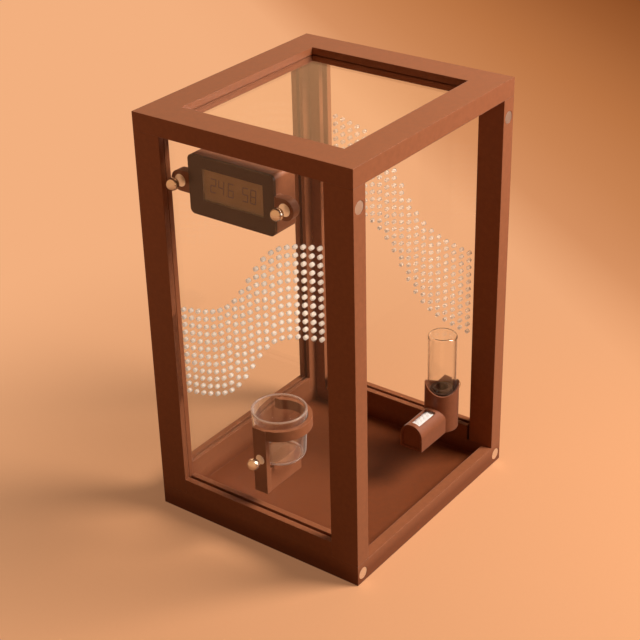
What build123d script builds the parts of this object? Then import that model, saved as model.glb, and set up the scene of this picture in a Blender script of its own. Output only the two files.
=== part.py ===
from build123d import *
from math import tanh
import os

os.makedirs("parts", exist_ok=True)

# A tall arboreal enclosure for a jumping spider. A printed frame of base tray,
# four corner posts and top frame holds clear sheets in grooves. The front and
# rear sheets are pierced with a wave of vent holes. The right side stands open,
# with four disc magnets in its corners. Inside hang a thermometer, a feeding cup
# and a water dispenser, each on a magnet that faces a steel ball outside the
# sheet.
# Sizes are in mm. The origin is the middle of the base's underside, +X points
# to the open side, -Y to the front and +Z up.

# Whole enclosure
width = 120.0
depth = 130.0
height = 211.0
sheet = 2.5
fit = 0.1

# Posts and the lips that hold the sheets
post_width = 15.0
outer_lip = 3.2
inner_lip = 3.0
side_inner_lip = 2.0
lip_setback = 1.5
sheet_bite = 4.0
tenon_x = 5.0
tenon_y = 4.0
tenon_length = 5.0
tenon_wall = 0.8

# Base tray
rail_height = 19.0
sill_height = 10.7
sill_depth = 5.5
floor_thickness = 3.5

# Top frame
top_height = 9.0
top_border_x = 15.5
top_border_y = 16.0
top_lip = 3.5
top_bite = 3.0
rebate_border = 5.5

# Wave of vent holes
vent_columns = 19
vent_rows = 12
vent_pitch_x = 4.48
vent_pitch_z = 4.03
vent_radius = 1.05
vent_sides = 6
wave_shift = -0.8
wave_middle = 119.6
wave_swing = 20.8
wave_length = 14.1
wave_slope = 0.15
rear_wave_lift = 2.2

# Disc magnets at the open side
disc_radius = 3.0
disc_height = 2.0
disc_inset = 4.3
low_disc_z = 4.9
high_disc_drop = 18.5

# Steel balls outside the sheets and small magnets inside
ball_radius = 3.0
ball_gap = 0.2
pin_magnet_radius = 2.5
pin_magnet_height = 2.0

# Thermometer
meter_gap = 3.0
meter_drop = 30.0
bezel_width = 48.0
bezel_height = 28.6
bezel_thickness = 1.6
bezel_round = 2.5
meter_depth = 15.0
tub_step = 1.2
window_width = 34.0
window_height = 15.2
window_shift_x = 1.0
window_shift_z = 1.2
lens_thickness = 1.2
display_thickness = 2.0
board_thickness = 1.2
case_wall = 1.3
cell_radius = 5.8
cell_height = 5.4
cell_spacing = 13.0
cover_thickness = 1.0
cover_border = 2.0
ear_radius = 5.0
ear_reach = 29.3
ear_thickness = 4.5

# Feeding cup and its holder
cup_offset = 16.1
cup_bottom_radius = 12.5
cup_rim_radius = 13.6
cup_height = 26.4
cup_wall = 1.0
cup_round = 3.5
cup_seat_z = 39.8
ring_inner_radius = 13.8
ring_wall = 2.2
ring_height = 5.4
ring_lift = 17.4
hook_end = 11.0
riser_width = 7.6
riser_thickness = 3.0
web_height = 12.8
web_reach = 27.5
web_inset = 0.3
feeder_magnet_rise = 5.7

# Water dispenser
vial_inset = 23.2
vial_offset = 15.4
vial_radius = 7.55
vial_wall = 0.8
vial_length = 47.6
vial_round = 1.6
sleeve_wall = 1.05
sleeve_gap = 0.2
holder_bottom = 24.2
ledge_rise = 5.8
rim_rise = 21.2
tip_rise = 25.6
scallop_turn = 37.0
trough_width = 12.8
trough_height = 13.9
trough_reach = 28.5
trough_wall = 1.2
end_recess = 0.6
slot_width = 6.4
slot_length = 15.0
slot_setback = 2.7
neck_width = 6.0
neck_offset = -4.4
neck_height = 20.0
neck_magnet_rise = 12.2
stopper_length = 15.8
nozzle_radius = 4.8
nozzle_length = 1.2
nozzle_bore = 3.4
wick_height = 12.4

# Places worked out from the sizes above
half_width = width / 2
half_depth = depth / 2
post_depth = outer_lip + sheet + inner_lip
side_depth = outer_lip + sheet + side_inner_lip
groove_width = sheet + 2 * fit
groove_depth = sheet_bite + fit
top_z = height - top_height
disc_pocket = disc_height + 2 * fit
pin_pocket = pin_magnet_height + 2 * fit
tenon_place = half_width - disc_pocket - tenon_wall - fit - tenon_x / 2
glass_out = half_depth - outer_lip
glass_in = glass_out - sheet
seat = glass_in - fit
ball_y = glass_out + ball_gap + ball_radius
meter_x = meter_gap + ear_radius + ear_reach - (half_width - post_width + lip_setback)
meter_z = height - meter_drop
vial_x = half_width - vial_inset
vial_y = seat - vial_offset
rebate_x = width - 2 * top_border_x + 2 * rebate_border
rebate_y = depth - 2 * top_border_y + 2 * rebate_border
retainer_height = top_height - top_lip - sheet
sheet_z = rail_height - sheet_bite
sheet_height = top_z + top_bite - sheet_z
disc_places = [
    (side * (half_depth - disc_inset), z)
    for side in (-1, 1)
    for z in (low_disc_z, height - high_disc_drop)
]


def finish(part, name):
    """Label a finished piece and write it out."""
    part.label = name
    export_step(part, f"parts/{name}.step")


def face_plane(x, y, z):
    """A plane that looks out to -Y, with its own x along X and y along Z."""
    return Plane(origin=(x, y, z), x_dir=(1, 0, 0), z_dir=(0, -1, 0))


# Base tray: a floor with a low sill at the open side and higher rails elsewhere
post_gap_x = width - 2 * post_width
post_gap_y = depth - 2 * post_width
with BuildPart() as base_tray:
    with BuildSketch():
        Rectangle(width, depth)
    extrude(amount=sill_height)
    with BuildSketch(Plane.XY.offset(sill_height)):
        with Locations((0, half_depth - post_depth / 2), (0, post_depth / 2 - half_depth)):
            Rectangle(post_gap_x, post_depth)
        with Locations((side_depth / 2 - half_width, 0)):
            Rectangle(side_depth, post_gap_y)
    extrude(amount=rail_height - sill_height)
    with BuildSketch(Plane.XY.offset(floor_thickness)):
        with Locations(((side_depth - sill_depth) / 2, 0)):
            Rectangle(width - side_depth - sill_depth, depth - 2 * post_depth)
    extrude(amount=sill_height, mode=Mode.SUBTRACT)
    with BuildSketch(Plane.XY.offset(sheet_z - fit)):
        with Locations((0, glass_in + sheet / 2), (0, -glass_in - sheet / 2)):
            Rectangle(post_gap_x, groove_width)
        with Locations((outer_lip + sheet / 2 - half_width, 0)):
            Rectangle(groove_width, post_gap_y)
    extrude(amount=groove_depth, mode=Mode.SUBTRACT)
    with BuildSketch(Plane.XY.offset(sill_height)):
        with GridLocations(2 * tenon_place, depth - post_depth, 2, 2):
            Rectangle(tenon_x + 2 * fit, tenon_y + 2 * fit)
    extrude(amount=-(tenon_length + fit), mode=Mode.SUBTRACT)
    with BuildSketch(Plane.YZ.offset(half_width)):
        with Locations(*[place for place in disc_places if place[1] == low_disc_z]):
            Circle(disc_radius + fit)
    extrude(amount=-disc_pocket, mode=Mode.SUBTRACT)
finish(base_tray.part, "base_tray")


def make_post(name, side_x, side_y):
    """One corner post with its sheet grooves and a tenon at each end.

    The posts on the left carry a second leg for the side sheet. Those on the
    right carry a disc magnet instead.
    """
    has_leg = side_x < 0
    with BuildPart() as post:
        with BuildSketch(Plane.XY.offset(sill_height)):
            with Locations((side_x * (half_width - post_width / 2), side_y * (half_depth - post_depth / 2))):
                Rectangle(post_width, post_depth)
            if has_leg:
                with Locations((side_x * (half_width - side_depth / 2), side_y * (half_depth - post_width / 2))):
                    Rectangle(side_depth, post_width)
            groove_x = half_width - post_width + groove_depth / 2
            with Locations((side_x * groove_x, side_y * (glass_in + sheet / 2))):
                Rectangle(groove_depth, groove_width, mode=Mode.SUBTRACT)
            setback_x = half_width - post_width + lip_setback / 2
            with Locations((side_x * setback_x, side_y * (glass_in - inner_lip / 2))):
                Rectangle(lip_setback, inner_lip, mode=Mode.SUBTRACT)
            if has_leg:
                groove_y = half_depth - post_width + groove_depth / 2
                with Locations((side_x * (half_width - outer_lip - sheet / 2), side_y * groove_y)):
                    Rectangle(groove_width, groove_depth, mode=Mode.SUBTRACT)
        extrude(amount=top_z - sill_height)
        with BuildSketch(Plane.XY.offset(sill_height - tenon_length)):
            with Locations((side_x * tenon_place, side_y * (half_depth - post_depth / 2))):
                Rectangle(tenon_x, tenon_y)
        extrude(amount=top_z - sill_height + 2 * tenon_length)
        if not has_leg:
            with BuildSketch(Plane.YZ.offset(half_width)):
                with Locations((side_y * (half_depth - disc_inset), height - high_disc_drop)):
                    Circle(disc_radius + fit)
            extrude(amount=-disc_pocket, mode=Mode.SUBTRACT)
    finish(post.part, name)


make_post("post_front_left", -1, -1)
make_post("post_front_right", 1, -1)
make_post("post_rear_right", 1, 1)
make_post("post_rear_left", -1, 1)

# Top frame: a flat ring with a lip over the top sheet, and grooves below
with BuildPart() as top_frame:
    with BuildSketch(Plane.XY.offset(top_z)):
        Rectangle(width, depth)
        Rectangle(width - 2 * top_border_x, depth - 2 * top_border_y, mode=Mode.SUBTRACT)
    extrude(amount=top_height)
    with BuildSketch(Plane.XY.offset(top_z)):
        Rectangle(rebate_x, rebate_y)
    extrude(amount=retainer_height + sheet, mode=Mode.SUBTRACT)
    with BuildSketch(Plane.XY.offset(top_z)):
        with Locations((0, glass_in + sheet / 2), (0, -glass_in - sheet / 2)):
            Rectangle(post_gap_x + 2 * groove_depth, groove_width)
        with Locations((outer_lip + sheet / 2 - half_width, 0)):
            Rectangle(groove_width, post_gap_y + 2 * groove_depth)
    extrude(amount=top_bite + fit, mode=Mode.SUBTRACT)
    with BuildSketch(Plane.XY.offset(top_z)):
        with GridLocations(2 * tenon_place, depth - post_depth, 2, 2):
            Rectangle(tenon_x + 2 * fit, tenon_y + 2 * fit)
    extrude(amount=tenon_length + fit, mode=Mode.SUBTRACT)
finish(top_frame.part, "top_frame")

with BuildPart() as top_retainer:
    with BuildSketch(Plane.XY.offset(top_z)):
        Rectangle(rebate_x - 2 * fit, rebate_y - 2 * fit)
        Rectangle(width - 2 * top_border_x, depth - 2 * top_border_y, mode=Mode.SUBTRACT)
    extrude(amount=retainer_height)
finish(top_retainer.part, "top_retainer")

with BuildPart() as top_panel:
    with BuildSketch(Plane.XY.offset(top_z + retainer_height)):
        Rectangle(rebate_x - 2 * fit, rebate_y - 2 * fit)
    extrude(amount=sheet)
finish(top_panel.part, "top_panel")


def vent_places(lift):
    """Centres of the vent holes: even columns whose rows ride up a smooth step."""
    places = []
    for column in range(vent_columns):
        x = (column - (vent_columns - 1) / 2) * vent_pitch_x
        middle = wave_middle + lift + wave_swing * tanh(x / wave_length) + wave_slope * x
        for row in range(vent_rows):
            places.append((x + wave_shift, middle + (row - (vent_rows - 1) / 2) * vent_pitch_z))
    return places


# Front and rear sheets: the same wave of holes, on the rear one turned half round
for name, turn, lift in (("front_panel", 1, 0), ("rear_panel", -1, rear_wave_lift)):
    outer_plane = Plane(origin=(0, -turn * glass_out, 0), x_dir=(turn, 0, 0), z_dir=(0, -turn, 0))
    with BuildPart() as vented_panel:
        with BuildSketch(outer_plane):
            with Locations((0, sheet_z + sheet_height / 2)):
                Rectangle(post_gap_x + 2 * sheet_bite, sheet_height)
            with Locations(*vent_places(lift)):
                RegularPolygon(vent_radius, vent_sides, mode=Mode.SUBTRACT)
        extrude(amount=-sheet)
    finish(vented_panel.part, name)

with BuildPart() as side_panel:
    with BuildSketch(Plane.YZ.offset(outer_lip - half_width)):
        with Locations((0, sheet_z + sheet_height / 2)):
            Rectangle(post_gap_y + 2 * sheet_bite, sheet_height)
    extrude(amount=sheet)
finish(side_panel.part, "side_panel")

# Disc magnets in the corners of the open side, just below the frame's face
with BuildPart() as frame_magnets:
    with BuildSketch(Plane.YZ.offset(half_width - fit)):
        with Locations(*disc_places):
            Circle(disc_radius)
    extrude(amount=-disc_height)
finish(frame_magnets.part, "frame_magnets")


# Thermometer: its planes are set by their distance in from the front sheet
def meter_plane(distance):
    return face_plane(meter_x, distance - seat, meter_z)


tub_width = bezel_width - 2 * tub_step
tub_height = bezel_height - 2 * tub_step
tub_round = bezel_round - tub_step
tub_end = meter_depth - cover_thickness
cell_start = tub_end - cell_height - fit
ear_places = ((-ear_reach, 0), (ear_reach, 0))

# Holder: a sleeve round the tub, with a half-round magnet ear on each side
with BuildPart() as meter_holder:
    with BuildSketch(meter_plane(bezel_thickness)):
        RectangleRounded(bezel_width, bezel_height, bezel_round)
    extrude(amount=bezel_thickness - meter_depth)
    with BuildSketch(meter_plane(0)):
        with Locations(*ear_places):
            Circle(ear_radius)
        with Locations((-ear_reach / 2, 0), (ear_reach / 2, 0)):
            Rectangle(ear_reach, 2 * ear_radius)
        Rectangle(bezel_width, bezel_height, mode=Mode.SUBTRACT)
    extrude(amount=-ear_thickness)
    with BuildSketch(meter_plane(0)):
        RectangleRounded(bezel_width + 2 * fit, bezel_height + 2 * fit, bezel_round)
    extrude(amount=-bezel_thickness, mode=Mode.SUBTRACT)
    with BuildSketch(meter_plane(0)):
        RectangleRounded(tub_width + 2 * fit, tub_height + 2 * fit, tub_round)
    extrude(amount=-meter_depth, mode=Mode.SUBTRACT)
    with BuildSketch(meter_plane(0)):
        with Locations(*ear_places):
            Circle(disc_radius + fit)
    extrude(amount=-disc_pocket, mode=Mode.SUBTRACT)
finish(meter_holder.part, "meter_holder")

with BuildPart() as meter_magnets:
    with BuildSketch(meter_plane(fit)):
        with Locations(*ear_places):
            Circle(disc_radius)
    extrude(amount=-disc_height)
finish(meter_magnets.part, "meter_magnets")

# Case: bezel and tub, hollow behind the window, with two cell wells at the back
with BuildPart() as meter_case:
    with BuildSketch(meter_plane(0)):
        RectangleRounded(bezel_width, bezel_height, bezel_round)
    extrude(amount=-bezel_thickness)
    with BuildSketch(meter_plane(bezel_thickness)):
        RectangleRounded(tub_width, tub_height, tub_round)
    extrude(amount=bezel_thickness - tub_end)
    with BuildSketch(meter_plane(0)):
        with Locations((window_shift_x, window_shift_z)):
            Rectangle(window_width, window_height)
    extrude(amount=-(cell_start - case_wall), mode=Mode.SUBTRACT)
    with BuildSketch(meter_plane(tub_end)):
        with Locations((-cell_spacing / 2, 0), (cell_spacing / 2, 0)):
            Circle(cell_radius + fit)
    extrude(amount=cell_height + fit, mode=Mode.SUBTRACT)
finish(meter_case.part, "meter_case")

display_start = fit + lens_thickness + fit
board_start = display_start + display_thickness + fit
for name, start, thickness in (
    ("meter_lens", fit, lens_thickness),
    ("meter_display", display_start, display_thickness),
    ("meter_board", board_start, board_thickness),
):
    with BuildPart() as layer:
        with BuildSketch(meter_plane(start)):
            with Locations((window_shift_x, window_shift_z)):
                Rectangle(window_width - 2 * fit, window_height - 2 * fit)
        extrude(amount=-thickness)
    finish(layer.part, name)

with BuildPart() as meter_cells:
    with BuildSketch(meter_plane(cell_start)):
        with Locations((-cell_spacing / 2, 0), (cell_spacing / 2, 0)):
            Circle(cell_radius)
    extrude(amount=-cell_height)
finish(meter_cells.part, "meter_cells")

with BuildPart() as meter_back_cover:
    with BuildSketch(meter_plane(tub_end)):
        RectangleRounded(tub_width - 2 * cover_border, tub_height - 2 * cover_border, tub_round)
    extrude(amount=-cover_thickness)
finish(meter_back_cover.part, "meter_back_cover")


def make_ball(name, x, y, z):
    with BuildPart() as ball:
        with Locations((x, y, z)):
            Sphere(ball_radius)
    finish(ball.part, name)


make_ball("meter_ball_left", meter_x - ear_reach, -ball_y, meter_z)
make_ball("meter_ball_right", meter_x + ear_reach, -ball_y, meter_z)

# Feeding cup holder: a riser on the sheet, a web under the cup and a hook round it
cup_y = cup_offset - seat
ring_z = cup_seat_z + ring_lift
ring_outer_radius = ring_inner_radius + ring_wall
feeder_magnet_z = cup_seat_z + feeder_magnet_rise
with BuildPart() as feeder_holder:
    with BuildSketch(Plane.XY.offset(cup_seat_z - web_height)):
        with Locations((0, riser_thickness / 2 - seat)):
            Rectangle(riser_width, riser_thickness)
    extrude(amount=web_height + ring_lift + ring_height)
    with BuildSketch(Plane.XY.offset(cup_seat_z - web_height)):
        with Locations((0, web_reach / 2 - seat)):
            Rectangle(riser_width - 2 * web_inset, web_reach)
    extrude(amount=web_height)
    with BuildSketch(Plane.XY.offset(ring_z)):
        with Locations((0, cup_y)):
            Circle(ring_outer_radius)
        gap_middle = (-(riser_width + ring_outer_radius) / 2, cup_y + hook_end - ring_outer_radius)
        with Locations(gap_middle):
            Rectangle(ring_outer_radius, 2 * ring_outer_radius, mode=Mode.SUBTRACT)
    extrude(amount=ring_height)
    with BuildSketch(Plane.XY.offset(cup_seat_z)):
        with Locations((0, cup_y)):
            Circle(ring_inner_radius)
    extrude(amount=cup_height, mode=Mode.SUBTRACT)
    with BuildSketch(face_plane(0, -seat, feeder_magnet_z)):
        Circle(pin_magnet_radius + fit)
    extrude(amount=-pin_pocket, mode=Mode.SUBTRACT)
finish(feeder_holder.part, "feeder_holder")

with BuildPart() as feeder_magnet:
    with BuildSketch(face_plane(0, fit - seat, feeder_magnet_z)):
        Circle(pin_magnet_radius)
    extrude(amount=-pin_magnet_height)
finish(feeder_magnet.part, "feeder_magnet")

# Cup: a turned wall that flares a little from a rounded foot to the rim
with BuildPart() as feeder_cup:
    with BuildSketch(face_plane(0, cup_y, cup_seat_z)):
        with BuildLine():
            foot = (cup_bottom_radius - cup_round, cup_round)
            Line((0, 0), (foot[0], 0))
            CenterArc(foot, cup_round, -90, 90)
            Line((cup_bottom_radius, cup_round), (cup_rim_radius, cup_height))
            Line((cup_rim_radius, cup_height), (cup_rim_radius - cup_wall, cup_height))
            Line((cup_rim_radius - cup_wall, cup_height), (cup_bottom_radius - cup_wall, cup_round))
            CenterArc(foot, cup_round - cup_wall, -90, 90)
            Line((foot[0], cup_wall), (0, cup_wall))
            Line((0, cup_wall), (0, 0))
        make_face()
    revolve(axis=Axis((0, cup_y, 0), (0, 0, 1)))
finish(feeder_cup.part, "feeder_cup")

make_ball("feeder_ball", 0, -ball_y, feeder_magnet_z)

# Water dispenser holder: sleeve for the vial, trough for the wick, magnet neck
sleeve_bore = vial_radius + sleeve_gap
sleeve_radius = sleeve_bore + sleeve_wall
mouth_z = holder_bottom + ledge_rise
arch_radius = trough_width / 2
channel_radius = arch_radius - trough_wall
channel_start = end_recess + trough_wall
trough_end = vial_y - trough_reach
neck_x = vial_x + neck_offset
neck_magnet_z = holder_bottom + neck_magnet_rise
trough_plane = face_plane(vial_x, trough_end, holder_bottom)
scallop_radius = (tip_rise - rim_rise + sleeve_radius ** 2 / (tip_rise - rim_rise)) / 2
scallop_plane = Plane(
    origin=(vial_x, vial_y, holder_bottom + rim_rise + scallop_radius),
    x_dir=Vector(1, 0, 0).rotate(Axis.Z, scallop_turn),
    z_dir=Vector(0, -1, 0).rotate(Axis.Z, scallop_turn),
)


def trough_section(radius, floor):
    """The trough's round-topped section, with its flat floor at a given height."""
    arch_start = trough_height - arch_radius
    with Locations((0, (arch_start + floor) / 2)):
        Rectangle(2 * radius, arch_start - floor)
    with Locations((0, arch_start)):
        Circle(radius)


with BuildPart() as dispenser_holder:
    with BuildSketch(Plane.XY.offset(holder_bottom)):
        with Locations((vial_x, vial_y)):
            Circle(sleeve_radius)
    extrude(amount=tip_rise)
    with BuildSketch(scallop_plane):
        Circle(scallop_radius)
    extrude(amount=sleeve_radius, both=True, mode=Mode.SUBTRACT)
    with BuildSketch(trough_plane):
        trough_section(arch_radius, 0)
    extrude(amount=-trough_reach)
    with BuildSketch(Plane.XY.offset(holder_bottom)):
        with Locations((neck_x, (vial_y + seat) / 2)):
            Rectangle(neck_width, seat - vial_y)
    extrude(amount=neck_height)
    with BuildSketch(Plane.XY.offset(mouth_z)):
        with Locations((vial_x, vial_y)):
            Circle(sleeve_bore)
    extrude(amount=tip_rise, mode=Mode.SUBTRACT)
    with BuildSketch(trough_plane.offset(-channel_start)):
        trough_section(channel_radius, trough_wall)
    extrude(amount=channel_start - trough_reach, mode=Mode.SUBTRACT)
    with BuildSketch(trough_plane):
        trough_section(channel_radius, trough_wall)
    extrude(amount=-end_recess, mode=Mode.SUBTRACT)
    with BuildSketch(Plane.XY.offset(holder_bottom + trough_height - arch_radius)):
        with Locations((vial_x, trough_end + slot_setback + slot_length / 2)):
            Rectangle(slot_width, slot_length)
    extrude(amount=trough_height, mode=Mode.SUBTRACT)
    with BuildSketch(face_plane(neck_x, seat, neck_magnet_z)):
        Circle(pin_magnet_radius + fit)
    extrude(amount=pin_pocket, mode=Mode.SUBTRACT)
finish(dispenser_holder.part, "dispenser_holder")

with BuildPart() as dispenser_magnet:
    with BuildSketch(face_plane(neck_x, seat - fit, neck_magnet_z)):
        Circle(pin_magnet_radius)
    extrude(amount=pin_magnet_height)
finish(dispenser_magnet.part, "dispenser_magnet")

# Vial: a clear tube with a rounded closed end, standing on its mouth
with BuildPart() as water_vial:
    with BuildSketch(face_plane(vial_x, vial_y, mouth_z)):
        with BuildLine():
            shoulder = (vial_radius - vial_round, vial_length - vial_round)
            inner_radius = vial_radius - vial_wall
            Line((vial_radius, 0), (vial_radius, shoulder[1]))
            CenterArc(shoulder, vial_round, 0, 90)
            Line((shoulder[0], vial_length), (0, vial_length))
            Line((0, vial_length), (0, vial_length - vial_wall))
            Line((0, vial_length - vial_wall), (shoulder[0], vial_length - vial_wall))
            CenterArc(shoulder, vial_round - vial_wall, 0, 90)
            Line((inner_radius, shoulder[1]), (inner_radius, 0))
            Line((inner_radius, 0), (vial_radius, 0))
        make_face()
    revolve(axis=Axis((vial_x, vial_y, 0), (0, 0, 1)))
finish(water_vial.part, "water_vial")

with BuildPart() as vial_stopper:
    with BuildSketch(Plane.XY.offset(mouth_z)):
        with Locations((vial_x, vial_y)):
            Circle(vial_radius - vial_wall - fit)
    extrude(amount=stopper_length)
    with BuildSketch(Plane.XY.offset(mouth_z + stopper_length)):
        with Locations((vial_x, vial_y)):
            Circle(nozzle_radius)
    extrude(amount=nozzle_length)
    with BuildSketch(Plane.XY.offset(mouth_z)):
        with Locations((vial_x, vial_y)):
            Circle(nozzle_bore)
    extrude(amount=stopper_length + nozzle_length, mode=Mode.SUBTRACT)
finish(vial_stopper.part, "vial_stopper")

# Wick: cotton that fills the channel and runs low under the vial's mouth
wick_low = ledge_rise - fit
wick_step = trough_reach - sleeve_bore - fit
with BuildPart() as wick:
    with BuildSketch(trough_plane.offset(-channel_start - fit)):
        trough_section(channel_radius - fit, trough_wall + fit)
    extrude(amount=channel_start + 2 * fit - trough_reach)
    with BuildSketch(Plane(origin=(vial_x, trough_end, holder_bottom), x_dir=(0, 1, 0), z_dir=(1, 0, 0))):
        with BuildLine():
            Polyline(
                (0, 0),
                (trough_reach, 0),
                (trough_reach, wick_low),
                (wick_step, wick_low),
                (wick_step, wick_height),
                (0, wick_height),
                close=True,
            )
        make_face()
    extrude(amount=channel_radius, both=True, mode=Mode.INTERSECT)
finish(wick.part, "wick")

make_ball("dispenser_ball", neck_x, ball_y, neck_magnet_z)
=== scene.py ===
"""Looks of a jumping spider enclosure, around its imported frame. All lengths are in metres."""
from math import cos, pi, sin, tanh

import bmesh
import bpy
from mathutils import Matrix, Vector


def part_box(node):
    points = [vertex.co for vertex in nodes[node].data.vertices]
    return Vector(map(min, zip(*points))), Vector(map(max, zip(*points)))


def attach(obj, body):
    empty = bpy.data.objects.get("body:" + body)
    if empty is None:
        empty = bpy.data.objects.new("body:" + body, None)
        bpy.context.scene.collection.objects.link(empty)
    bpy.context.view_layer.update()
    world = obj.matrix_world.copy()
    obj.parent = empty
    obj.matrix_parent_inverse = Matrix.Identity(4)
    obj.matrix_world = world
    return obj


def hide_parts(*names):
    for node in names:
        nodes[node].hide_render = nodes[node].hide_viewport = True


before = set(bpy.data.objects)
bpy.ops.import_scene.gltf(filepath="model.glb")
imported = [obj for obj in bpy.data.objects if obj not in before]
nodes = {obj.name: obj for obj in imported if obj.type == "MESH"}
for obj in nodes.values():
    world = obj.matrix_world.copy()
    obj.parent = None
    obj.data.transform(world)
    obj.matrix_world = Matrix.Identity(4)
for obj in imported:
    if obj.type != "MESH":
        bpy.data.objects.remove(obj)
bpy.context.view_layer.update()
MM = 0.001


# Small helpers for node materials


def new_material(name):
    """A material with its Principled shader and output, and nothing else."""
    material = bpy.data.materials.new(name)
    material.use_nodes = True
    tree = material.node_tree
    shader = tree.nodes["Principled BSDF"]
    output = tree.nodes["Material Output"]
    return material, tree, shader, output


def add(tree, kind, **settings):
    """Adds a node; settings are its sockets by name or its own properties."""
    node = tree.nodes.new(kind)
    for key, value in settings.items():
        socket = node.inputs.get(key.replace("_", " "))
        if socket is None:
            setattr(node, key, value)
        else:
            socket.default_value = value
    return node


def object_coordinates(tree):
    return add(tree, "ShaderNodeTexCoord").outputs["Object"]


def colour_spread(tree, fac, stops):
    """A colour ramp over fac; stops are (place, colour)."""
    ramp = add(tree, "ShaderNodeValToRGB")
    elements = ramp.color_ramp.elements
    while len(elements) < len(stops):
        elements.new(0.5)
    for element, (place, colour) in zip(elements, stops):
        element.position = place
        element.color = (*colour, 1)
    tree.links.new(fac, ramp.inputs["Fac"])
    return ramp.outputs["Color"]


def add_bump(tree, height, strength, distance):
    bump = add(tree, "ShaderNodeBump", Strength=strength, Distance=distance)
    tree.links.new(height, bump.inputs["Height"])
    return bump.outputs["Normal"]


def linear(red, green, blue):
    """A colour given as 0 to 255 display values, as the shader's linear light."""
    def one(value):
        part = value / 255
        return part / 12.92 if part <= 0.04045 else ((part + 0.055) / 1.055) ** 2.4
    return one(red), one(green), one(blue)


def shade(colour, amount):
    return tuple(min(1.0, part * amount) for part in colour)


# Materials


def printed_plastic(name, colour, painted_shade_colour):
    """Matt printed plastic: soft mottling and fine level layers, and painted shade on the tray: near the
    tray's floor the colour fades to a darker one that stands in for the shadow inside the enclosure.
    """
    material, tree, shader, output = new_material(name)
    links = tree.links
    place = object_coordinates(tree)
    mottle = add(tree, "ShaderNodeTexNoise", Scale=420.0, Detail=6.0, Roughness=0.6)
    links.new(place, mottle.inputs["Vector"])
    tint = colour_spread(tree, mottle.outputs["Fac"], ((0.3, shade(colour, 0.9)), (0.7, shade(colour, 1.1))))
    painted_shade_tint = colour_spread(
        tree, mottle.outputs["Fac"], ((0.3, shade(painted_shade_colour, 0.9)), (0.7, shade(painted_shade_colour, 1.1)))
    )
    apart = add(tree, "ShaderNodeSeparateXYZ")
    links.new(place, apart.inputs["Vector"])
    # Painted shade: at TRAY_FLOOR and below it the second, darker colour is used, fading to the main colour 6
    # mm higher; on the tray it stands in for the shadow inside the enclosure.
    rise = add(tree, "ShaderNodeMapRange")
    rise.inputs["From Min"].default_value = TRAY_FLOOR
    rise.inputs["From Max"].default_value = TRAY_FLOOR + 0.006
    links.new(apart.outputs["Z"], rise.inputs["Value"])
    whole = add(tree, "ShaderNodeMix", data_type="RGBA")
    links.new(rise.outputs["Result"], whole.inputs["Factor"])
    links.new(painted_shade_tint, whole.inputs[6])
    links.new(tint, whole.inputs[7])
    links.new(whole.outputs[2], shader.inputs["Base Color"])
    gloss = add(tree, "ShaderNodeMapRange")
    gloss.inputs["To Min"].default_value = 0.42
    gloss.inputs["To Max"].default_value = 0.58
    links.new(mottle.outputs["Fac"], gloss.inputs["Value"])
    links.new(gloss.outputs["Result"], shader.inputs["Roughness"])
    layers = add(tree, "ShaderNodeTexWave", Scale=785.0, Distortion=0.4, Detail=1.0)
    layers.bands_direction = "Z"
    links.new(place, layers.inputs["Vector"])
    edge = add(tree, "ShaderNodeBevel", Radius=0.0005)
    edge.samples = 4
    grain = add(tree, "ShaderNodeBump", Strength=0.08, Distance=0.00005)
    links.new(mottle.outputs["Fac"], grain.inputs["Height"])
    links.new(edge.outputs["Normal"], grain.inputs["Normal"])
    lines = add(tree, "ShaderNodeBump", Strength=0.12, Distance=0.00004)
    links.new(layers.outputs["Fac"], lines.inputs["Height"])
    links.new(grain.outputs["Normal"], lines.inputs["Normal"])
    links.new(lines.outputs["Normal"], shader.inputs["Normal"])
    shader.inputs["Specular IOR Level"].default_value = 0.3
    shader.inputs["Sheen Weight"].default_value = 0.2
    shader.inputs["Sheen Roughness"].default_value = 0.4
    shader.inputs["Sheen Tint"].default_value = (1.0, 0.86, 0.8, 1)
    return material


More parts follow.
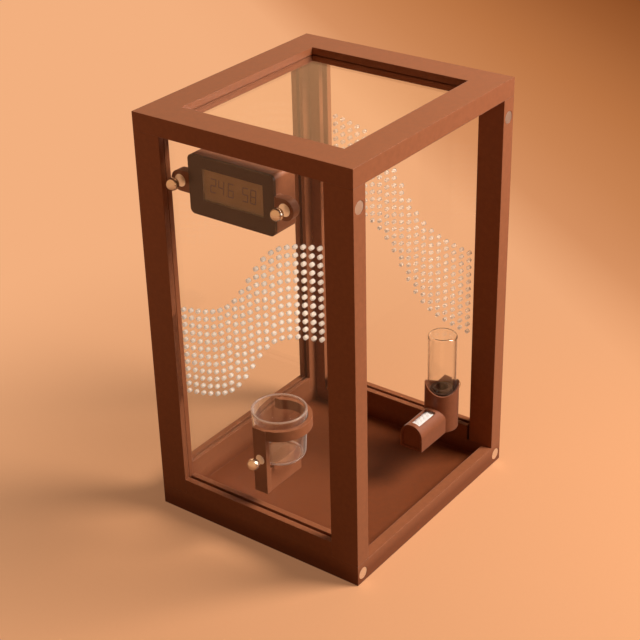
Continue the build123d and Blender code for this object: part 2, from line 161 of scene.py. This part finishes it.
def clear_plastic(name, colour, roughness, ripple, ior, gloss, edge_paint_strength):
    """Clear plastic that refracts, lets the light itself straight through, and has a painted pale highlight
    where seen edge on, standing in for the bright streaks its edge-on walls refract and reflect.
    """
    material, tree, shader, output = new_material(name)
    links = tree.links
    place = object_coordinates(tree)
    shader.inputs["Base Color"].default_value = (*colour, 1)
    shader.inputs["Transmission Weight"].default_value = 1.0
    shader.inputs["IOR"].default_value = ior
    shader.inputs["Specular IOR Level"].default_value = gloss
    smear = add(tree, "ShaderNodeTexNoise", Scale=22.0, Detail=3.0)
    links.new(place, smear.inputs["Vector"])
    film = add(tree, "ShaderNodeMapRange")
    film.inputs["To Min"].default_value = roughness * 0.6
    film.inputs["To Max"].default_value = roughness * 1.4
    links.new(smear.outputs["Fac"], film.inputs["Value"])
    links.new(film.outputs["Result"], shader.inputs["Roughness"])
    wave = add(tree, "ShaderNodeBump", Strength=ripple, Distance=0.0001)
    links.new(smear.outputs["Fac"], wave.inputs["Height"])
    links.new(wave.outputs["Normal"], shader.inputs["Normal"])
    straight = add(tree, "ShaderNodeBsdfTransparent", Color=(*shade(colour, 0.97), 1))
    rays = add(tree, "ShaderNodeLightPath")
    either = add(tree, "ShaderNodeMath")
    either.operation = "MAXIMUM"
    links.new(rays.outputs["Is Shadow Ray"], either.inputs[0])
    links.new(rays.outputs["Is Diffuse Ray"], either.inputs[1])
    # Painted highlight: a pale lit layer that grows where the surface is seen edge on.
    edge_on = add(tree, "ShaderNodeLayerWeight", Blend=0.15)
    narrow = add(tree, "ShaderNodeMath")
    narrow.operation = "POWER"
    narrow.inputs[1].default_value = 2.0
    links.new(edge_on.outputs["Facing"], narrow.inputs[0])
    pale = add(tree, "ShaderNodeMath", use_clamp=True)
    pale.operation = "MULTIPLY"
    pale.inputs[1].default_value = edge_paint_strength
    links.new(narrow.outputs[0], pale.inputs[0])
    painted_edge_layer = add(tree, "ShaderNodeBsdfDiffuse", Color=(0.9, 0.8, 0.74, 1))
    edge_painted = add(tree, "ShaderNodeMixShader")
    links.new(pale.outputs[0], edge_painted.inputs["Fac"])
    links.new(shader.outputs["BSDF"], edge_painted.inputs[1])
    links.new(painted_edge_layer.outputs["BSDF"], edge_painted.inputs[2])
    both = add(tree, "ShaderNodeMixShader")
    links.new(either.outputs[0], both.inputs["Fac"])
    links.new(edge_painted.outputs["Shader"], both.inputs[1])
    links.new(straight.outputs["BSDF"], both.inputs[2])
    links.new(both.outputs["Shader"], output.inputs["Surface"])
    return material


def cut_plastic(name, colour, roughness, clearness, painted_glow_strength):
    """A cut or moulded edge of clear plastic: milky and partly clear, with a painted glow standing in for the
    light the plastic pipes to it.
    """
    material, tree, shader, output = new_material(name)
    links = tree.links
    place = object_coordinates(tree)
    frost = add(tree, "ShaderNodeTexNoise", Scale=2600.0, Detail=3.0)
    links.new(place, frost.inputs["Vector"])
    tint = colour_spread(tree, frost.outputs["Fac"], ((0.25, shade(colour, 0.86)), (0.7, colour)))
    links.new(tint, shader.inputs["Base Color"])
    shader.inputs["Roughness"].default_value = roughness
    shader.inputs["Specular IOR Level"].default_value = 0.8
    # The emission is painted light: a glow in place of light piped through the plastic.
    shader.inputs["Emission Color"].default_value = (1.0, 0.84, 0.66, 1)
    shader.inputs["Emission Strength"].default_value = painted_glow_strength
    links.new(add_bump(tree, frost.outputs["Fac"], 0.3, 0.00004), shader.inputs["Normal"])
    glow = add(tree, "ShaderNodeBsdfTranslucent", Color=(*colour, 1))
    milky = add(tree, "ShaderNodeMixShader", Fac=0.5)
    links.new(shader.outputs["BSDF"], milky.inputs[1])
    links.new(glow.outputs["BSDF"], milky.inputs[2])
    clear = add(tree, "ShaderNodeBsdfGlass", Color=(*colour, 1), Roughness=0.04, IOR=1.49)
    both = add(tree, "ShaderNodeMixShader", Fac=clearness)
    links.new(milky.outputs["Shader"], both.inputs[1])
    links.new(clear.outputs["BSDF"], both.inputs[2])
    links.new(both.outputs["Shader"], output.inputs["Surface"])
    return material


def metal(name, colour, roughness, scratch_scale):
    """Bright metal with faint scratches that change its gloss a little."""
    material, tree, shader, output = new_material(name)
    links = tree.links
    place = object_coordinates(tree)
    scratch = add(tree, "ShaderNodeTexNoise", Scale=scratch_scale, Detail=5.0, Distortion=1.5)
    links.new(place, scratch.inputs["Vector"])
    tint = colour_spread(tree, scratch.outputs["Fac"], ((0.3, shade(colour, 0.94)), (0.7, colour)))
    links.new(tint, shader.inputs["Base Color"])
    shader.inputs["Metallic"].default_value = 1.0
    gloss = add(tree, "ShaderNodeMapRange")
    gloss.inputs["To Min"].default_value = roughness * 0.7
    gloss.inputs["To Max"].default_value = roughness * 1.3
    links.new(scratch.outputs["Fac"], gloss.inputs["Value"])
    links.new(gloss.outputs["Result"], shader.inputs["Roughness"])
    return material


def moulded(name, colour, roughness, texture_scale):
    """Opaque moulded plastic or rubber with a fine spark-eroded texture."""
    material, tree, shader, output = new_material(name)
    links = tree.links
    place = object_coordinates(tree)
    grain = add(tree, "ShaderNodeTexNoise", Scale=texture_scale, Detail=4.0)
    links.new(place, grain.inputs["Vector"])
    tint = colour_spread(tree, grain.outputs["Fac"], ((0.3, shade(colour, 0.88)), (0.7, shade(colour, 1.12))))
    links.new(tint, shader.inputs["Base Color"])
    shader.inputs["Roughness"].default_value = roughness
    shader.inputs["Specular IOR Level"].default_value = 0.3
    links.new(add_bump(tree, grain.outputs["Fac"], 0.15, 0.00003), shader.inputs["Normal"])
    return material


def liquid_crystal(name, pale, dark):
    """The display's plain field, faintly clouded in tone."""
    material, tree, shader, output = new_material(name)
    links = tree.links
    place = object_coordinates(tree)
    cloud = add(tree, "ShaderNodeTexNoise", Scale=90.0, Detail=2.0)
    links.new(place, cloud.inputs["Vector"])
    tint = colour_spread(tree, cloud.outputs["Fac"], ((0.3, dark), (0.75, pale)))
    links.new(tint, shader.inputs["Base Color"])
    shader.inputs["Roughness"].default_value = 0.25
    return material


def cotton_fibre(name, colour):
    """Loose white fibre: a crossed, combed noise for colour and height, with a soft sheen."""
    material, tree, shader, output = new_material(name)
    links = tree.links
    place = object_coordinates(tree)
    combed = add(tree, "ShaderNodeMapping")
    combed.inputs["Scale"].default_value = (3.0, 1.0, 3.0)
    links.new(place, combed.inputs["Vector"])
    fibre = add(tree, "ShaderNodeTexNoise", Scale=900.0, Detail=8.0, Roughness=0.75, Distortion=0.8)
    links.new(combed.outputs["Vector"], fibre.inputs["Vector"])
    tint = colour_spread(tree, fibre.outputs["Fac"], ((0.3, shade(colour, 0.82)), (0.6, colour)))
    links.new(tint, shader.inputs["Base Color"])
    shader.inputs["Roughness"].default_value = 0.9
    shader.inputs["Sheen Weight"].default_value = 0.4
    links.new(add_bump(tree, fibre.outputs["Fac"], 0.6, 0.0003), shader.inputs["Normal"])
    return material


def backdrop_paper(name, near):
    """Peach paper: a diffuse floor near the object, blending into a painted glow farther off that darkens
    towards the far right as painted light fall-off; diffuse rays see the darker FLOOR_BOUNCE instead.
    """
    material, tree, shader, output = new_material(name)
    links = tree.links
    place = object_coordinates(tree)
    fleck = add(tree, "ShaderNodeTexNoise", Scale=600.0, Detail=4.0)
    links.new(place, fleck.inputs["Vector"])
    tint = colour_spread(tree, fleck.outputs["Fac"], ((0.3, shade(near, 0.985)), (0.7, near)))
    links.new(tint, shader.inputs["Base Color"])
    shader.inputs["Roughness"].default_value = 0.85
    shader.inputs["Specular IOR Level"].default_value = 0.1
    links.new(add_bump(tree, fleck.outputs["Fac"], 0.1, 0.0002), shader.inputs["Normal"])

    # Painted light: an emission whose colour darkens towards the far right, standing in for the fall-off at
    # the edge of the lamp's pool.
    across = add(tree, "ShaderNodeVectorMath")
    across.operation = "DOT_PRODUCT"
    across.inputs[1].default_value = FAR_RIGHT
    links.new(place, across.inputs[0])
    reach = add(tree, "ShaderNodeMapRange")
    reach.inputs["From Min"].default_value = 0.0
    reach.inputs["From Max"].default_value = 0.6
    links.new(across.outputs["Value"], reach.inputs["Value"])
    far = colour_spread(tree, reach.outputs["Result"], PAINTED_FALLOFF_COLOURS)
    glow = add(tree, "ShaderNodeEmission", Strength=1.0)
    links.new(far, glow.inputs["Color"])
    away = add(tree, "ShaderNodeVectorMath")
    away.operation = "DISTANCE"
    away.inputs[1].default_value = NEAR_MIDDLE
    links.new(place, away.inputs[0])
    # The painted glow makes up at least a quarter of the floor's shading, even next to the object.
    fade = add(tree, "ShaderNodeMapRange")
    fade.interpolation_type = "SMOOTHSTEP"
    fade.inputs["From Min"].default_value = 0.1
    fade.inputs["From Max"].default_value = 0.4
    fade.inputs["To Min"].default_value = 0.25
    links.new(away.outputs["Value"], fade.inputs["Value"])
    seen = add(tree, "ShaderNodeMixShader")
    links.new(fade.outputs["Result"], seen.inputs["Fac"])
    links.new(shader.outputs["BSDF"], seen.inputs[1])
    links.new(glow.outputs["Emission"], seen.inputs[2])

    bounce = add(tree, "ShaderNodeBsdfDiffuse", Color=(*FLOOR_BOUNCE, 1))
    rays = add(tree, "ShaderNodeLightPath")
    both = add(tree, "ShaderNodeMixShader")
    links.new(rays.outputs["Is Diffuse Ray"], both.inputs["Fac"])
    links.new(seen.outputs["Shader"], both.inputs[1])
    links.new(bounce.outputs["BSDF"], both.inputs[2])
    links.new(both.outputs["Shader"], output.inputs["Surface"])
    return material


# Colours and strengths from here on were tuned to one photograph in this one
# light. They aren't measured facts about the materials.

FAR_RIGHT = (0.57, 0.82, 0.0)
NEAR_MIDDLE = (0.06, -0.04, 0.0)
BROWN = linear(148, 87, 54)
# Painted shade for the dispenser holder: a darker copy of the brown, standing in for the rear right post's
# shadow on it.
BROWN_SHADED_HOLDER = linear(136, 78, 50)
# Painted shade for the tray's floor, darker to stand in for the shadow inside the enclosure.
BROWN_SHADED_FLOOR = linear(118, 58, 25)
TRAY_FLOOR = 0.0045
PEACH = linear(228, 166, 120)
# Painted light fall-off: the colours of the floor's far glow, darkening towards the far right.
PAINTED_FALLOFF_COLOURS = (
    (0.2, linear(243, 176, 127)), (0.33, linear(240, 172, 123)), (0.42, linear(214, 144, 96)),
    (0.52, linear(201, 131, 82)), (0.65, linear(186, 116, 67)), (0.82, linear(159, 93, 49)),
    (0.95, linear(139, 76, 35)),
)
FLOOR_BOUNCE = (0.15, 0.055, 0.01)

brown = printed_plastic("printed_brown", BROWN, BROWN)
# The dispenser holder's material is a darker copy of the brown, painted shade.
holder_brown_painted_shade = printed_plastic("printed_brown_holder_painted_shade", BROWN_SHADED_HOLDER, BROWN_SHADED_HOLDER)
# The tray's material carries painted shade on its floor.
tray_brown_painted_shade = printed_plastic("printed_brown_tray_painted_shade", BROWN, BROWN_SHADED_FLOOR)
# Acrylic has an IOR of about 1.49. These two match the photograph's reflections instead.
SHEET_IOR = 1.24
TOP_SHEET_IOR = 1.58
# The last number of each is the strength of the painted pale edge highlight.
clear_sheet = clear_plastic("clear_sheet", (1.0, 0.995, 0.985), 0.008, 0.02, SHEET_IOR, 0.3, 0.0)
clear_top = clear_plastic("clear_top_sheet", (1.0, 0.995, 0.985), 0.008, 0.02, TOP_SHEET_IOR, 0.5, 0.0)
clear_cup = clear_plastic("clear_cup", (0.99, 0.98, 0.97), 0.02, 0.15, 1.46, 0.6, 1.6)
clear_vial = clear_plastic("clear_vial", (0.99, 0.98, 0.96), 0.015, 0.1, 1.44, 0.5, 0.3)
# The last number of each is the strength of a painted glow.
front_cut = cut_plastic("front_cut_wall", (0.97, 0.92, 0.86), 0.45, 0.15, 0.38)
rear_cut = cut_plastic("rear_cut_wall", (1.0, 0.93, 0.84), 0.45, 0.55, 0.5)
cup_edge = cut_plastic("cup_edge", (0.88, 0.72, 0.64), 0.16, 0.55, 0.04)
nickel = metal("nickel", (0.86, 0.83, 0.79), 0.38, 900.0)
steel = metal("polished_steel", (0.62, 0.54, 0.46), 0.22, 600.0)
cell_steel = metal("cell_steel", (0.7, 0.7, 0.69), 0.3, 1500.0)
shell = moulded("meter_shell", linear(60, 32, 12), 0.4, 1800.0)
board = moulded("circuit_board", linear(22, 78, 40), 0.35, 700.0)
rubber = moulded("stopper_rubber", linear(42, 22, 12), 0.55, 1200.0)
display = liquid_crystal("display_field", linear(170, 130, 68), linear(146, 110, 54))
segment = moulded("display_segment", linear(112, 82, 42), 0.35, 1500.0)
cotton = cotton_fibre("cotton", (0.97, 0.94, 0.92))

finishes = {
    brown: (
        "post_front_left", "post_front_right", "post_rear_right", "post_rear_left",
        "top_frame", "top_retainer", "meter_holder", "feeder_holder",
    ),
    holder_brown_painted_shade: ("dispenser_holder",),
    tray_brown_painted_shade: ("base_tray",),
    clear_sheet: ("side_panel", "meter_lens"),
    clear_top: ("top_panel",),
    clear_cup: ("feeder_cup",),
    clear_vial: ("water_vial",),
    nickel: ("frame_magnets", "meter_magnets", "feeder_magnet", "dispenser_magnet"),
    steel: ("meter_ball_left", "meter_ball_right", "feeder_ball", "dispenser_ball"),
    cell_steel: ("meter_cells",),
    shell: ("meter_case", "meter_back_cover"),
    board: ("meter_board",),
    rubber: ("vial_stopper",),
    display: ("meter_display",),
}
for material, names in finishes.items():
    for name in names:
        slots = nodes[name].data.materials
        slots.clear()
        slots.append(material)


# Pierced sheets


VENT_COLUMNS = 19
VENT_ROWS = 12
VENT_PITCH_X = 4.48 * MM
VENT_PITCH_Z = 4.03 * MM
VENT_RADIUS = 1.05 * MM
WAVE_SHIFT = -0.8 * MM
WAVE_MIDDLE = 119.6 * MM
WAVE_SWING = 20.8 * MM
WAVE_LENGTH = 14.1 * MM
REAR_WAVE_LIFT = 2.2 * MM
WAVE_SLOPE = 0.15
HOLE_STEPS = 20


def vent_places(lift):
    """Centres of the vent holes, as (x, z), in even columns that ride up a smooth step."""
    for column in range(VENT_COLUMNS):
        x = (column - (VENT_COLUMNS - 1) / 2) * VENT_PITCH_X
        middle = WAVE_MIDDLE + lift + WAVE_SWING * tanh(x / WAVE_LENGTH) + WAVE_SLOPE * x
        for row in range(VENT_ROWS):
            yield x + WAVE_SHIFT, middle + (row - (VENT_ROWS - 1) / 2) * VENT_PITCH_Z


def new_piece(name, mesh, materials, body):
    piece = bpy.data.objects.new(name, mesh)
    bpy.context.scene.collection.objects.link(piece)
    for material in materials:
        mesh.materials.append(material)
    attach(piece, body)
    return piece


def pierced_sheet(name, node, turn, lift, wall_material):
    """A clear sheet in a node's place, with round vent holes cut through it."""
    low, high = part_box(node)
    curve = bpy.data.curves.new(name, "CURVE")
    curve.dimensions = "2D"
    curve.fill_mode = "BOTH"

    def loop(points):
        spline = curve.splines.new("POLY")
        spline.points.add(len(points) - 1)
        for point, (x, z) in zip(spline.points, points):
            point.co = (x, z, 0, 1)
        spline.use_cyclic_u = True

    loop([(low.x, low.z), (high.x, low.z), (high.x, high.z), (low.x, high.z)])
    turns = [2 * pi * step / HOLE_STEPS for step in range(HOLE_STEPS)]
    for x, z in vent_places(lift):
        loop([(x + VENT_RADIUS * cos(angle), z + VENT_RADIUS * sin(angle)) for angle in turns])
    outline = bpy.data.objects.new(name + "_outline", curve)
    flat = bpy.data.meshes.new_from_object(outline)
    bpy.data.objects.remove(outline)
    bpy.data.curves.remove(curve)

    sheet = bmesh.new()
    sheet.from_mesh(flat)
    bpy.data.meshes.remove(flat)
    bmesh.ops.remove_doubles(sheet, verts=sheet.verts, dist=MM * 0.001)
    half = (high.y - low.y) / 2
    for vert in sheet.verts:
        vert.co = (vert.co.x, -half, vert.co.y)
    front = sheet.faces[:]
    if front[0].normal.y > 0:
        bmesh.ops.reverse_faces(sheet, faces=front)
    back = bmesh.ops.duplicate(sheet, geom=sheet.verts[:] + sheet.edges[:] + front)
    twin = back["vert_map"]
    rear = [item for item in back["geom"] if isinstance(item, bmesh.types.BMFace)]
    for item in back["geom"]:
        if isinstance(item, bmesh.types.BMVert):
            item.co.y = half
    bmesh.ops.reverse_faces(sheet, faces=rear)
    rim = [edge for edge in sheet.edges if edge.is_boundary and edge.verts[0].co.y < 0]
    corner = {(round(x, 6), round(z, 6)) for x in (low.x, high.x) for z in (low.z, high.z)}
    for edge in rim:
        first, second = edge.link_loops[0].vert, edge.link_loops[0].link_loop_next.vert
        is_side = all((round(v.co.x, 6), round(v.co.z, 6)) in corner for v in (first, second))
        wall = sheet.faces.new((second, first, twin[first], twin[second]))
        wall.material_index = 0 if is_side else 1
        wall.smooth = not is_side
    bmesh.ops.recalc_face_normals(sheet, faces=sheet.faces)
    mesh = bpy.data.meshes.new(name)
    sheet.to_mesh(mesh)
    sheet.free()
    middle = Matrix.Translation((0, (low.y + high.y) / 2, 0))
    mesh.transform(middle @ Matrix.Rotation(0 if turn > 0 else pi, 4, "Z"))
    piece = new_piece(name, mesh, [clear_sheet, wall_material], "frame")
    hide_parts(node)
    return piece


pierced_sheet("front_sheet", "front_panel", 1, 0, front_cut)
pierced_sheet("rear_sheet", "rear_panel", -1, REAR_WAVE_LIFT, rear_cut)


# Cotton in the trough, in the wick's place


COTTON_VOXEL = 0.3 * MM
COTTON_DIP = 0.16 * MM


def cotton_roll():
    """The wick as a softened pad of fibre with an uneven top, never larger than its solid."""
    mesh = nodes["wick"].data.copy()
    mesh.materials.clear()
    piece = bpy.data.objects.new("cotton_wick", mesh)
    bpy.context.scene.collection.objects.link(piece)
    remesh = piece.modifiers.new("even", "REMESH")
    remesh.mode = "VOXEL"
    remesh.voxel_size = COTTON_VOXEL
    bpy.context.view_layer.update()
    evaluated = piece.evaluated_get(bpy.context.evaluated_depsgraph_get())
    even = bpy.data.meshes.new_from_object(evaluated)
    piece.modifiers.clear()
    bpy.data.objects.remove(piece)
    bpy.data.meshes.remove(mesh)
    form = bmesh.new()
    form.from_mesh(even)
    for _ in range(3):
        bmesh.ops.smooth_vert(form, verts=form.verts, factor=0.5)
    for vert in form.verts:
        x, y = vert.co.x, vert.co.y
        wobble = sin(y * 2100) * sin(x * 1700 + 1.3) + 0.5 * sin(y * 4700 + x * 3900)
        if vert.normal.z > 0.5:
            vert.co.z -= COTTON_DIP * (1 - wobble)
    form.to_mesh(even)
    form.free()
    for face in even.polygons:
        face.use_smooth = True
    even.name = "cotton_wick"
    piece = new_piece("cotton_wick", even, [cotton], "dispenser")
    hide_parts("wick")
    return piece


cotton_roll()


# The cup's rolled rim and thick foot


CUP_RIM_RADIUS = 13.1 * MM
CUP_RIM_BEAD = 0.45 * MM
CUP_FOOT_RADIUS = 11.0 * MM
CUP_FOOT_BEAD = 0.7 * MM
CUP_FOOT_RISE = 1.3 * MM
BEAD_TURNS = 96
BEAD_SIDES = 12


def bead(name, middle, radius, thick, flat):
    """A rounded bead round a vertical middle line; flat is its height as a share of its width."""
    form = bmesh.new()
    loops = []
    for turn in range(BEAD_TURNS):
        angle = 2 * pi * turn / BEAD_TURNS
        out = Vector((cos(angle), sin(angle), 0))
        loop = []
        for side in range(BEAD_SIDES):
            lean = 2 * pi * side / BEAD_SIDES
            reach = radius + thick * cos(lean)
            loop.append(form.verts.new(middle + out * reach + Vector((0, 0, thick * flat * sin(lean)))))
        loops.append(loop)
    for turn, loop in enumerate(loops):
        after = loops[(turn + 1) % BEAD_TURNS]
        for side in range(BEAD_SIDES):
            other = (side + 1) % BEAD_SIDES
            form.faces.new((loop[side], after[side], after[other], loop[other])).smooth = True
    bmesh.ops.recalc_face_normals(form, faces=form.faces)
    mesh = bpy.data.meshes.new(name)
    form.to_mesh(mesh)
    form.free()
    return new_piece(name, mesh, [cup_edge], "cup")


def cup_beads():
    low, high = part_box("feeder_cup")
    middle = (low + high) / 2
    rim = Vector((middle.x, middle.y, high.z - CUP_RIM_BEAD))
    bead("cup_rim", rim, CUP_RIM_RADIUS, CUP_RIM_BEAD, 1.0)
    foot = Vector((middle.x, middle.y, low.z + CUP_FOOT_RISE))
    bead("cup_foot", foot, CUP_FOOT_RADIUS, CUP_FOOT_BEAD, 0.5)


cup_beads()


# Numbers on the display, in seven-segment form


SEGMENTS = {
    "0": "abcdef", "1": "bc", "2": "abged", "3": "abgcd", "4": "fgbc",
    "5": "afgcd", "6": "afgedc", "7": "abc", "8": "abcdefg", "9": "abcdfg",
}


def display_numbers():
    """Two made-up numbers, side by side, as thin dark plates just in front of the display."""
    low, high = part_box("meter_display")
    front = low.y - 0.06 * MM
    back = low.y - 0.01 * MM
    middle_x = (low.x + high.x) / 2
    form = bmesh.new()

    def bar(x0, x1, z0, z1, slant_from):
        """One segment, as a lozenge with pointed ends, leaning a little to the right."""
        thick = min(x1 - x0, z1 - z0) / 2
        if x1 - x0 > z1 - z0:
            z = (z0 + z1) / 2
            ring = [(x0, z), (x0 + thick, z0), (x1 - thick, z0), (x1, z), (x1 - thick, z1), (x0 + thick, z1)]
        else:
            x = (x0 + x1) / 2
            ring = [(x, z0), (x1, z0 + thick), (x1, z1 - thick), (x, z1), (x0, z1 - thick), (x0, z0 + thick)]
        lean = [(x + 0.08 * (z - slant_from), z) for x, z in ring]
        near = [form.verts.new((x, front, z)) for x, z in lean]
        far = [form.verts.new((x, back, z)) for x, z in lean]
        form.faces.new(near)
        form.faces.new(far[::-1])
        for i in range(len(ring)):
            j = (i + 1) % len(ring)
            form.faces.new((near[j], near[i], far[i], far[j]))

    def digit(value, x, z, wide, tall):
        stroke = 0.17 * wide
        gap = 0.1 * stroke
        half = tall / 2
        spots = {
            "a": (x + gap, x + wide - gap, z + tall - stroke, z + tall),
            "g": (x + gap, x + wide - gap, z + half - stroke / 2, z + half + stroke / 2),
            "d": (x + gap, x + wide - gap, z, z + stroke),
            "f": (x, x + stroke, z + half + gap, z + tall - gap),
            "b": (x + wide - stroke, x + wide, z + half + gap, z + tall - gap),
            "e": (x, x + stroke, z + gap, z + half - gap),
            "c": (x + wide - stroke, x + wide, z + gap, z + half - gap),
        }
        for part in SEGMENTS[value]:
            bar(*spots[part], z)

    def number(text, start, base, wide, tall):
        x = start
        for value in text:
            if value == ".":
                bar(x, x + 0.16 * wide, base, base + 0.16 * wide, base)
                x += 0.3 * wide
            else:
                digit(value, x, base, wide, tall)
                x += 1.3 * wide

    number("24.6", middle_x - 13.6 * MM, low.z + 4.2 * MM, 3.4 * MM, 7.0 * MM)
    number("58", middle_x + 4.4 * MM, low.z + 4.2 * MM, 3.4 * MM, 7.0 * MM)
    bmesh.ops.recalc_face_normals(form, faces=form.faces)
    mesh = bpy.data.meshes.new("display_numbers")
    form.to_mesh(mesh)
    form.free()
    return new_piece("display_numbers", mesh, [segment], "meter")


display_numbers()


# Floor, light and camera


def build_stage():
    reach = 6.0
    mesh = bpy.data.meshes.new("floor")
    corners = [(-reach, -reach, 0), (reach, -reach, 0), (reach, reach, 0), (-reach, reach, 0)]
    mesh.from_pydata(corners, [], [(0, 1, 2, 3)])
    mesh.materials.append(backdrop_paper("paper", PEACH))
    floor = bpy.data.objects.new("floor", mesh)
    floor.location.z = -0.0002
    bpy.context.scene.collection.objects.link(floor)


def area_light(name, direction, distance, size, power, colour):
    light = bpy.data.lights.new(name, "AREA")
    light.shape = "DISK"
    light.size = size
    light.energy = power
    light.color = colour
    lamp = bpy.data.objects.new(name, light)
    away = Vector(direction).normalized()
    lamp.location = Vector((0, 0, 0.1)) + away * distance
    lamp.rotation_mode = "QUATERNION"
    lamp.rotation_quaternion = away.to_track_quat("Z", "Y")
    bpy.context.scene.collection.objects.link(lamp)


WORLD_LIGHT = (1.0, 0.6, 0.3)
WORLD_STRENGTH = 0.09
WORLD_SEEN = (0.95, 0.48, 0.22)


def build_light():
    area_light("key", (0.8, 0.45, 0.85), 0.95, 0.46, 12.8, (1.0, 0.92, 0.84))
    area_light("side", (0.8, 0.45, 0.14), 0.9, 0.4, 1.0, (1.0, 0.97, 0.95))
    world = bpy.data.worlds.new("studio")
    world.use_nodes = True
    tree = world.node_tree
    ambient = tree.nodes["Background"]
    ambient.inputs["Color"].default_value = (*WORLD_LIGHT, 1)
    ambient.inputs["Strength"].default_value = WORLD_STRENGTH
    seen = add(tree, "ShaderNodeBackground", Color=(*WORLD_SEEN, 1), Strength=1.0)
    rays = add(tree, "ShaderNodeLightPath")
    both = add(tree, "ShaderNodeMixShader")
    tree.links.new(rays.outputs["Is Diffuse Ray"], both.inputs["Fac"])
    tree.links.new(seen.outputs["Background"], both.inputs[1])
    tree.links.new(ambient.outputs["Background"], both.inputs[2])
    tree.links.new(both.outputs["Shader"], tree.nodes["World Output"].inputs["Surface"])
    bpy.context.scene.world = world


CAMERA_PLACE = Vector((385.1, -521.9, 449.0)) * MM
CAMERA_TARGET = Vector((7.6, -19.7, 105.5)) * MM
CAMERA_ROLL = -0.0253
CAMERA_LENS = 84.92


def build_camera():
    data = bpy.data.cameras.new("camera")
    data.sensor_width = 36
    data.lens = CAMERA_LENS
    data.clip_start = 0.01
    data.clip_end = 50
    camera = bpy.data.objects.new("camera", data)
    ahead = (CAMERA_TARGET - CAMERA_PLACE).normalized()
    right = ahead.cross(Vector((0, 0, 1))).normalized()
    up = right.cross(ahead)
    rolled_right = cos(CAMERA_ROLL) * right + sin(CAMERA_ROLL) * up
    rolled_up = cos(CAMERA_ROLL) * up - sin(CAMERA_ROLL) * right
    turn = Matrix((rolled_right, rolled_up, -ahead)).transposed()
    camera.matrix_world = Matrix.Translation(CAMERA_PLACE) @ turn.to_4x4()
    bpy.context.scene.collection.objects.link(camera)
    bpy.context.scene.camera = camera


build_stage()
build_light()
build_camera()
bpy.context.scene.view_settings.view_transform = "Standard"
